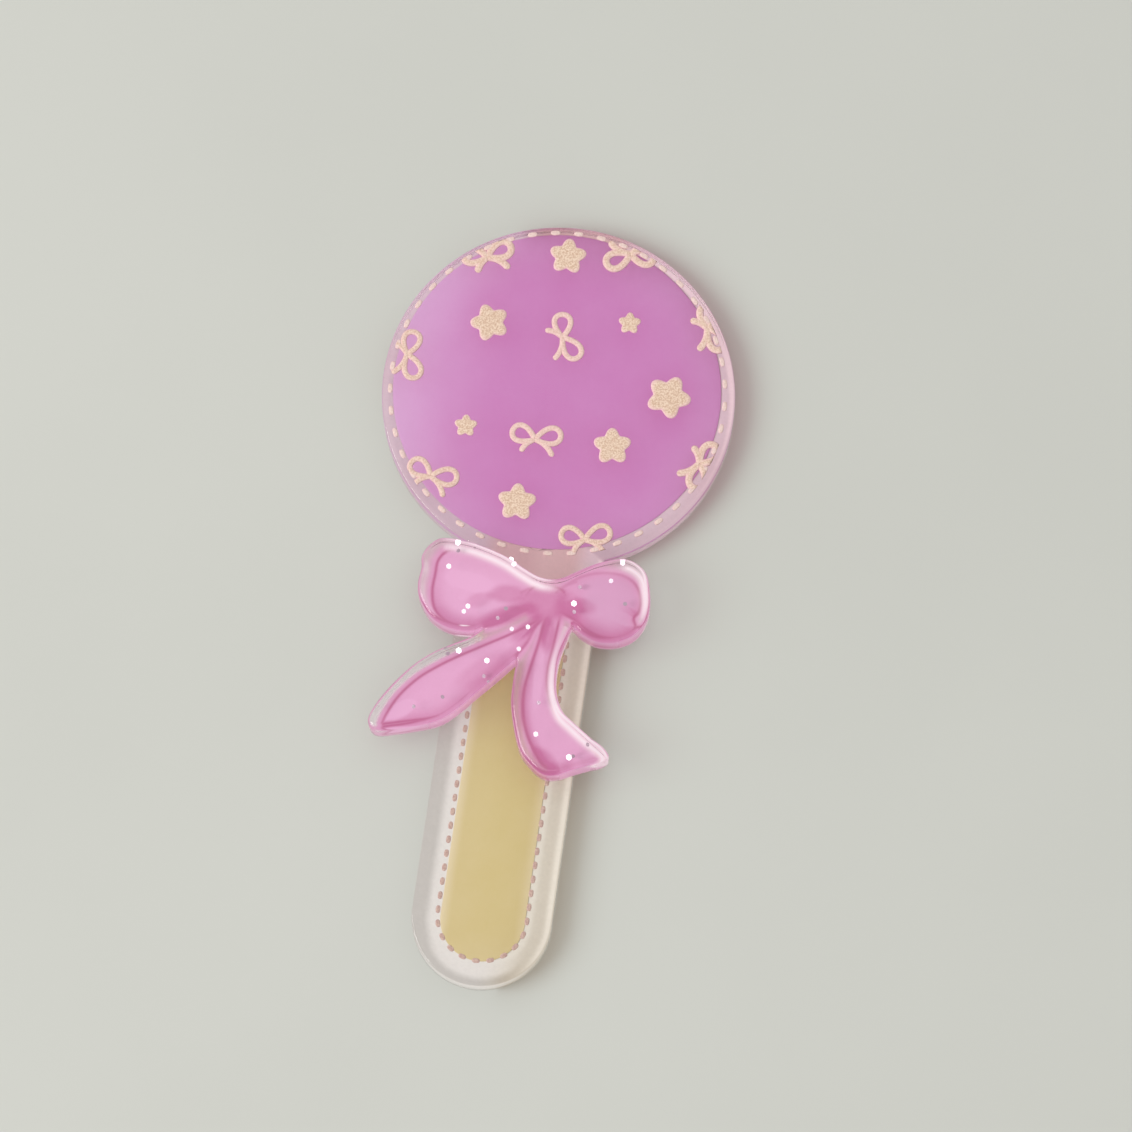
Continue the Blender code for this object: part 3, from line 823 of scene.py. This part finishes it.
RIGHT_TAIL_LEFT = (
    (1.45, -1.20), (1.20, -3.41), (0.89, -5.23), (0.62, -7.20), (0.79, -9.10),
    (1.39, -10.78), (2.32, -12.20), (3.17, -13.00), (4.18, -12.98),
)
RIGHT_TAIL_RIGHT = (
    (2.70, -1.00), (2.52, -3.52), (2.35, -5.32), (2.48, -6.79), (3.04, -8.19),
    (3.91, -9.25), (5.32, -10.12), (6.45, -10.90), (7.10, -11.60),
)
LINE_MIDDLE = 0.10
LINE_SPREAD = 0.12
PINK_RUN_OUT = 0.9
# Soft spots of deeper (or paler) shade: x, y, half length, half width, turn, strength.
PINK_FOLDS = (
    (-1.60, -0.15, 1.50, 0.75, 5.0, 0.50),
    (-3.60, -0.90, 1.10, 0.60, 25.0, 0.30),
    (0.20, -2.60, 1.50, 0.55, 50.0, 0.50),
    (1.90, -2.90, 0.60, 1.40, 5.0, 0.50),
    (0.35, -8.80, 0.60, 3.60, 6.0, 0.35),
    (-1.30, -1.75, 2.30, 0.75, 22.0, 0.42),
    (4.20, -0.25, 1.10, 0.60, -10.0, 0.35),
    (3.20, -0.40, 1.20, 1.20, 0.0, 0.25),
    (2.90, -12.40, 1.30, 0.80, -40.0, 0.45),
    (-2.60, -6.20, 2.60, 0.90, 42.0, 0.25),
    (-8.30, -10.20, 1.30, 0.60, 40.0, -0.45),
    (6.00, -11.90, 1.20, 0.50, 25.0, -0.35),
    (1.60, -6.00, 0.40, 2.60, 4.0, -0.25),
    (-4.60, 0.40, 2.20, 0.70, -8.0, -0.20),
)


def smooth_loop(controls, steps):
    """Closed Catmull-Rom curve through the controls."""
    wrapped = (controls[-1], *controls, controls[0], controls[1])
    return smooth_path(wrapped, steps)[steps:steps * (len(controls) + 1)]


def between_edges(one_side, other_side, steps):
    """Closed outline down one side and back up the other."""
    back = np.vstack((smooth_path(other_side, steps), other_side[-1:]))[::-1]
    return np.vstack((smooth_path(one_side, steps), one_side[-1:], back))


def edge_facts(points, outline):
    """For each point its distance in from a closed counter-clockwise outline, negative outside,
    and the direction straight out of the nearest side. A point is inside when a line from it
    to the right crosses the outline an odd number of times."""
    run = np.roll(outline, -1, axis=0) - outline
    offset = points[:, None] - outline
    share = np.clip((offset * run).sum(axis=-1) / (run * run).sum(axis=-1), 0, 1)
    distance = np.linalg.norm(offset - share[..., None] * run, axis=-1)
    nearest = distance.argmin(axis=1)
    above = outline[:, 1] > points[:, 1:]
    slope = np.where(run[:, 1] == 0, 1e-9, run[:, 1])
    crossing = outline[:, 0] + run[:, 0] * (points[:, 1:] - outline[:, 1]) / slope
    crossed = (above != np.roll(above, -1, axis=1)) & (points[:, :1] < crossing)
    inside = crossed.sum(axis=1) % 2 == 1
    straight_out = np.stack((run[:, 1], -run[:, 0]), axis=1) / np.linalg.norm(run, axis=1)[:, None]
    return np.where(inside, 1, -1) * distance.min(axis=1), straight_out[nearest]


# The ink areas from the lowest up: outline, sides where the line is strong, its strength
# elsewhere, the shaded side, how far the shade reaches in, shade in the middle and at that side,
# softness of the border.
pink_areas = (
    (between_edges(LEFT_TAIL_UPPER, LEFT_TAIL_LOWER, 4), ((-0.50, 0.86), (0.10, -1.0)),
     0.35, (0.60, -0.80), 1.2, 0.12, 0.55, 0.12),
    (between_edges(RIGHT_TAIL_LEFT, RIGHT_TAIL_RIGHT, 4), ((-0.90, -0.44), (0.95, 0.30)),
     0.15, (-0.60, -0.80), 0.9, 0.15, 0.80, 0.12),
    (smooth_loop(PINK_LEFT_LOOP, 4), ((-0.70, -0.71), (-0.98, 0.20)),
     0.10, (-0.10, -1.0), 1.5, 0.08, 0.75, 0.15),
    (smooth_loop(PINK_RIGHT_LOOP, 4), ((0.25, -0.97), (0.98, -0.20)),
     0.40, (0.10, -1.0), 1.8, 0.28, 0.85, 0.15),
    (smooth_loop(PINK_KNOT, 4), ((0.0, 1.0),), 0.0, (0.0, -1.0), 1.2, 0.68, 0.85, 0.55),
)
grid_x, grid_y = np.meshgrid(np.arange(-10.5, 9.4, PRINT_STEP), np.arange(-13.9, 3.6, PRINT_STEP))
spots = np.column_stack((grid_x.ravel(), grid_y.ravel()))
rim_depth, rim_out = edge_facts(spots, bow_edge)
printed = (rim_depth > -PRINT_STEP).reshape(grid_x.shape)
square = printed[:-1, :-1] & printed[:-1, 1:] & printed[1:, 1:] & printed[1:, :-1]
number = np.arange(grid_x.size).reshape(grid_x.shape)
pink_faces = np.stack((number[:-1, :-1], number[:-1, 1:], number[1:, 1:], number[1:, :-1]),
                      axis=-1)[square]
used, pink_faces = np.unique(pink_faces, return_inverse=True)
pink_faces = pink_faces.reshape(-1, 4)
spots, rim_depth, rim_out = spots[used], rim_depth[used], rim_out[used]
spots += rim_out * np.minimum(rim_depth - PRINT_MARGIN, 0)[:, None]
rim_depth = np.maximum(rim_depth, PRINT_MARGIN)

tone = np.full(len(spots), 0.3)
line = np.zeros(len(spots))
pinkness = np.zeros(len(spots))
for (outline, line_sides, least_line, shade_side, shade_reach, middle, border,
     softness) in pink_areas:
    depth, straight_out = edge_facts(spots, outline)
    drawn = soft_step(straight_out @ np.array(line_sides).T, 0.1, 0.9).max(axis=1)
    shaded = soft_step(straight_out @ np.array(shade_side), -0.2, 0.9)
    filled = soft_step(depth, -softness, softness)
    deepening = (1 - soft_step(depth, 0.1, shade_reach)) * (0.15 + 0.85 * shaded)
    tone += (middle + (border - middle) * deepening - tone) * filled
    line = np.maximum(line * (1 - filled), hump(depth, LINE_MIDDLE, LINE_SPREAD)
                      * (least_line + (1 - least_line) * drawn))
    pinkness = np.maximum(pinkness, soft_step(depth, -PINK_RUN_OUT, 0.0))
for fold_x, fold_y, half_length, half_width, turn, strength in PINK_FOLDS:
    u, v = (turned(spots - (fold_x, fold_y), -turn) / (half_length, half_width)).T
    tone += strength * (1 - soft_step(np.hypot(u, v), 0.55, 1.25))
for start, end in np.array(PINK_CREASES):
    along = np.clip((spots - start) @ (end - start) / ((end - start) @ (end - start)), 0, 1)
    away = np.linalg.norm(spots - start - along[:, None] * (end - start), axis=1)
    line = np.maximum(line, 0.4 * hump(away, 0.0, 0.12))
tail_depth, tail_out = edge_facts(spots, pink_areas[0][0])
loop_depth, _ = edge_facts(spots, pink_areas[3][0])
# Painted shade: the middle of the right loop turns greyish lilac.
dusk = soft_step(loop_depth, 0.0, 0.8) * soft_step(spots[:, 0], 3.0, 5.0) * 0.7
bare = (soft_step(-tail_depth, 0.20, 0.50) * soft_step(-spots[:, 0], 2.4, 3.4)
        * soft_step(tail_out @ np.array((-0.5, 0.86)), 0.2, 0.6)
        * soft_step(-spots[:, 1], 3.2, 3.8))
# Painted highlight: white just inside the bow's edge where it faces right and up, across the bare
# rim of the left tail, low on the left loop's rim, and a glint at the left loop's bottom; the print
# is made less clear where it lies.
gleam = hump(rim_depth, 0.34, 0.32) * soft_step(rim_out @ np.array((0.75, 0.66)), 0.25, 0.85)
thin = (hump(rim_depth, 0.2, 0.5) * soft_step(rim_out @ np.array((-0.9, -0.44)), 0.3, 0.8)
        * soft_step(spots[:, 0], -1.0, -0.2) * soft_step(-spots[:, 1], 5.0, 6.5))
cover = (soft_step(rim_depth, -0.05, 0.05) * np.maximum(0.68 + 0.32 * pinkness, gleam)
         * (1 - 0.75 * bare) * (1 - 0.3 * thin))
gleam = np.maximum(gleam, 0.8 * bare)
gleam = np.maximum(gleam, 0.4 * hump(rim_depth, 0.3, 0.25) * soft_step(-spots[:, 0], 4.5, 6.5)
                   * soft_step(spots[:, 1], -4.5, -3.5)
                   * soft_step(rim_out @ np.array((-0.8, -0.6)), 0.5, 0.95))
u, v = (turned(spots - (-4.44, -3.15), -5.0) / (0.60, 0.18)).T
gleam = np.maximum(gleam, 1 - soft_step(np.hypot(u, v), 0.7, 1.2))

pink_ink, pink_shader, pink_wire = new_material("pink ink")
tone_wire, gleam_wire = pink_wire.fact("tone"), pink_wire.fact("gleam")
mottle = pink_wire.noise(5.0, 3.0) * 0.14 + pink_wire.noise(0.8, 2.0) * 0.16 - 0.15
pink = (tone_wire + mottle).least(1.0).most(0.0).between(srgb(242, 182, 220), srgb(208, 118, 166))
pink = (pink_wire.fact("dusk") * (1.0 - tone_wire).least(1.0).most(0.0)).between(
    pink, srgb(220, 168, 204))
pink = pink_wire.fact("line").least(1.0).between(pink, srgb(200, 108, 152))
pink = pink_wire.fact("pinkness").between(srgb(224, 180, 198), pink)
# Where the painted highlight lies the colour turns white and the emission is a painted glow.
feed(pink_shader, {
    "Base Color": gleam_wire.between(pink, srgb(252, 234, 242)), "Roughness": mottle + 0.5,
    "Alpha": pink_wire.fact("cover"), "Specular IOR Level": 0.0, "Emission Strength": 1.0,
    "Emission Color": gleam_wire.between(srgb(0, 0, 0), srgb(104, 94, 100))})
pink_print = add_piece("pink_print", at_height(spots, PRINT_BACK), pink_faces.tolist(), (pink_ink,))
give_facts(pink_print, tone=tone, line=line, pinkness=pinkness, cover=cover, gleam=gleam,
           dusk=dusk)
pink_print.visible_shadow = False
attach(pink_print, "root")
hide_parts("pink_bow_layer")


# Glitter: silver hexagon flecks 0.4 mm across, cast at random in the bow plate. Those that face
# the lamp flash white, helped by a whiter colour and a painted glow, and the rest look grey.

FLECK_RADIUS = 0.21
FLECK_SEED = 7
# Where each fleck is, and how much it flashes.
FLECKS = np.array((
    (-5.78, 3.02, 1.0), (-1.64, 2.26, 1.0), (-1.37, 1.99, 0.9), (-6.19, 1.15, 0.6),
    (-4.32, -1.71, 0.6), (-4.55, -2.21, 0.4), (3.51, -0.38, 1.0), (-4.49, -5.23, 1.0),
    (-2.30, -5.70, 0.8), (6.03, 1.69, 0.35), (6.70, 3.20, 0.6), (2.10, -10.70, 0.5),
    (4.77, -12.09, 1.0), (0.36, -2.69, 0.4), (-0.81, -3.01, 0.3), (-0.07, -4.46, 0.35),
    (-9.90, -10.15, 0), (-7.22, -9.81, 0), (-5.30, -5.44, 0), (6.00, -10.90, 0),
    (5.04, -11.85, 0), (-2.39, -6.73, 0), (-1.50, -1.40, 0), (3.77, 1.06, 0), (-5.70, 2.60, 0),
    (3.61, -0.93, 0), (1.95, -8.2, 0), (-5.2, -8.8, 0), (-2.0, -2.2, 0), (7.3, 0.2, 0),
))
TO_VIEWER = np.array((0.02, -0.17, 0.985))


def fleck_rings(places, heights, facing, radii):
    """Thin hexagons: two rows of six points, 0.03 mm apart, about a centre, square to facing."""
    facing = facing / np.linalg.norm(facing, axis=1)[:, None]
    first = np.cross(facing, (0.3, 1.0, 0.1))
    first /= np.linalg.norm(first, axis=1)[:, None]
    second = np.cross(facing, first)
    turn = np.linspace(0, 2 * math.pi, 6, endpoint=False)
    round_it = (np.cos(turn)[None, :, None] * first[:, None]
                + np.sin(turn)[None, :, None] * second[:, None]) * radii[:, None, None]
    centre = np.column_stack((places, heights))
    low = centre - 0.015 * facing
    high = centre + 0.015 * facing
    rings = np.stack((low[:, None] + round_it, high[:, None] + round_it), axis=1)
    return rings, np.stack((low, high), axis=1)


chance = np.random.default_rng(FLECK_SEED)
fleck_places, fleck_flash = FLECKS[:, :2], FLECKS[:, 2]
fleck_heights = np.where(fleck_flash > 0, 3.7, 2.9) + chance.uniform(-0.3, 0.3, len(FLECKS))
half_way = to_lamp + TO_VIEWER
tilt = np.column_stack((chance.normal(0, 1, (len(FLECKS), 2)), np.zeros(len(FLECKS))))
tilt *= np.where(fleck_flash > 0, 0.03, 0.35)[:, None]
fleck_facing = half_way / np.linalg.norm(half_way) + tilt
fleck_radii = FLECK_RADIUS * (0.8 + 0.35 * fleck_flash)
fleck_points, fleck_poles = fleck_rings(fleck_places, fleck_heights, fleck_facing, fleck_radii)

silver, silver_shader, silver_wire = new_material("silver flecks")
flash = silver_wire.fact("flash")
silver_tone = (flash + silver_wire.noise(6.0) * 0.2 - 0.1).least(1.0).most(0.0).between(
    srgb(190, 165, 182), srgb(255, 250, 255))
# Flashing flecks are painted white and given a painted glow, besides their real reflection of the
# lamp.
feed(silver_shader, {
    "Base Color": silver_tone, "Metallic": flash * 0.6 + 0.3, "Roughness": 0.3,
    "Emission Color": flash.between(srgb(0, 0, 0), srgb(200, 195, 200)), "Emission Strength": 1.0})
flecks = shells("glitter_flecks", fleck_points, fleck_poles, (silver,))
flecks.data.polygons.foreach_set("use_smooth", [False] * len(flecks.data.polygons))
give_facts(flecks, flash=np.repeat(fleck_flash, 14))
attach(flecks, "root")


# Floor: a pale, faintly mottled table top that sweeps up far away on all sides, so that a low
# view has no edge behind it.

FLOOR_LOW = -0.03
FLOOR_FLAT_TO = 550.0
FLOOR_REACH = 2200.0
FLOOR_RISE = 900.0
FLOOR_COLUMNS = 72
floor_reach = np.concatenate((np.linspace(0, 100, 6)[1:], np.geomspace(130, FLOOR_REACH, 26)))
floor_turn = np.linspace(0, 2 * math.pi, FLOOR_COLUMNS, endpoint=False)
floor_share = np.clip((floor_reach - FLOOR_FLAT_TO) / (FLOOR_REACH - FLOOR_FLAT_TO), 0, 1)
floor_level = FLOOR_LOW + FLOOR_RISE * floor_share**2
floor_points = np.stack((
    floor_reach[:, None] * np.cos(floor_turn),
    floor_reach[:, None] * np.sin(floor_turn),
    np.broadcast_to(floor_level[:, None], (len(floor_reach), FLOOR_COLUMNS)),
), axis=-1)
floor_points = np.concatenate((floor_points.reshape(-1, 3), [(0, 0, FLOOR_LOW)]))
floor_here = np.arange(len(floor_reach) * FLOOR_COLUMNS).reshape(-1, FLOOR_COLUMNS)
floor_there = np.roll(floor_here, -1, axis=1)
floor_faces = np.stack((floor_here[:-1], floor_here[1:], floor_there[1:], floor_there[:-1]),
                       axis=-1).reshape(-1, 4).tolist()
floor_middle = np.full(FLOOR_COLUMNS, len(floor_points) - 1)
floor_faces += np.stack((floor_here[0], floor_there[0], floor_middle), axis=-1).tolist()

table_top, table_shader, table_wire = new_material("table top")
table_cloud = table_wire.noise(0.02, 4.0).ramp(0.3, 0.7)
feed(table_shader, {
    "Base Color": table_cloud.between(srgb(202, 203, 197), srgb(205, 206, 200)),
    "Roughness": table_cloud * 0.05 + 0.5, "Specular IOR Level": 0.2})
floor = add_piece("floor", floor_points, floor_faces, (table_top,))


# Light: one soft round lamp from the viewer's left, whose light gives the shadows on the right,
# and an even pale room round it.

LAMP_DISTANCE = 0.8
LAMP_SIZE = 0.54
LAMP_ENERGY = 3.7
lamp_data = bpy.data.lights.new("soft lamp", "AREA")
lamp_data.shape = "DISK"
lamp_data.size = LAMP_SIZE
lamp_data.energy = LAMP_ENERGY
lamp_data.color = (1.0, 0.99, 0.97)
lamp = bpy.data.objects.new("soft lamp", lamp_data)
bpy.context.scene.collection.objects.link(lamp)
lamp_way = Vector(to_lamp).normalized()
lamp.location = lamp_way * LAMP_DISTANCE
lamp.rotation_euler = lamp_way.to_track_quat("Z", "Y").to_euler()

room = bpy.data.worlds.new("pale room")
room.use_nodes = True
room_wire = Wire(room.node_tree)
room_height = room_wire.node("ShaderNodeSeparateXYZ", None,
                             {0: room_wire.node("ShaderNodeTexCoord", output="Generated")}, "Z")
room_light = room_height.ramp(-0.2, 1.0).between((0.60, 0.60, 0.60, 1), (0.74, 0.74, 0.73, 1))
feed(room.node_tree.nodes["Background"], {"Color": room_light, "Strength": 1.0})
bpy.context.scene.world = room
bpy.context.scene.view_settings.view_transform = "Standard"


# Camera: nearly straight down, leaning 14.5 degrees towards the stick and rolled a little, as the
# photo was taken.

VIEW_ROLL = math.radians(7.994)
VIEW_TILT = math.radians(14.5)
VIEW_TARGET = Vector((2.450, 2.863, 2.0)) * MM
VIEW_DISTANCE = 300 * MM
VIEW_LENS = 126.27
camera_data = bpy.data.cameras.new("camera")
camera_data.sensor_width = 36.0
camera_data.lens = VIEW_LENS
camera_data.clip_start = 0.01
camera_data.clip_end = 20.0
camera = bpy.data.objects.new("camera", camera_data)
bpy.context.scene.collection.objects.link(camera)
view_right = Vector((math.cos(VIEW_ROLL), math.sin(VIEW_ROLL), 0))
view_up = Vector((-math.sin(VIEW_ROLL), math.cos(VIEW_ROLL), 0))
view_back = Vector((0, 0, math.cos(VIEW_TILT))) - math.sin(VIEW_TILT) * view_up
picture_up = view_back.cross(view_right)
camera.matrix_world = Matrix.Translation(VIEW_TARGET + VIEW_DISTANCE * view_back) @ Matrix(
    (view_right, picture_up, view_back)).transposed().to_4x4()
bpy.context.scene.camera = camera
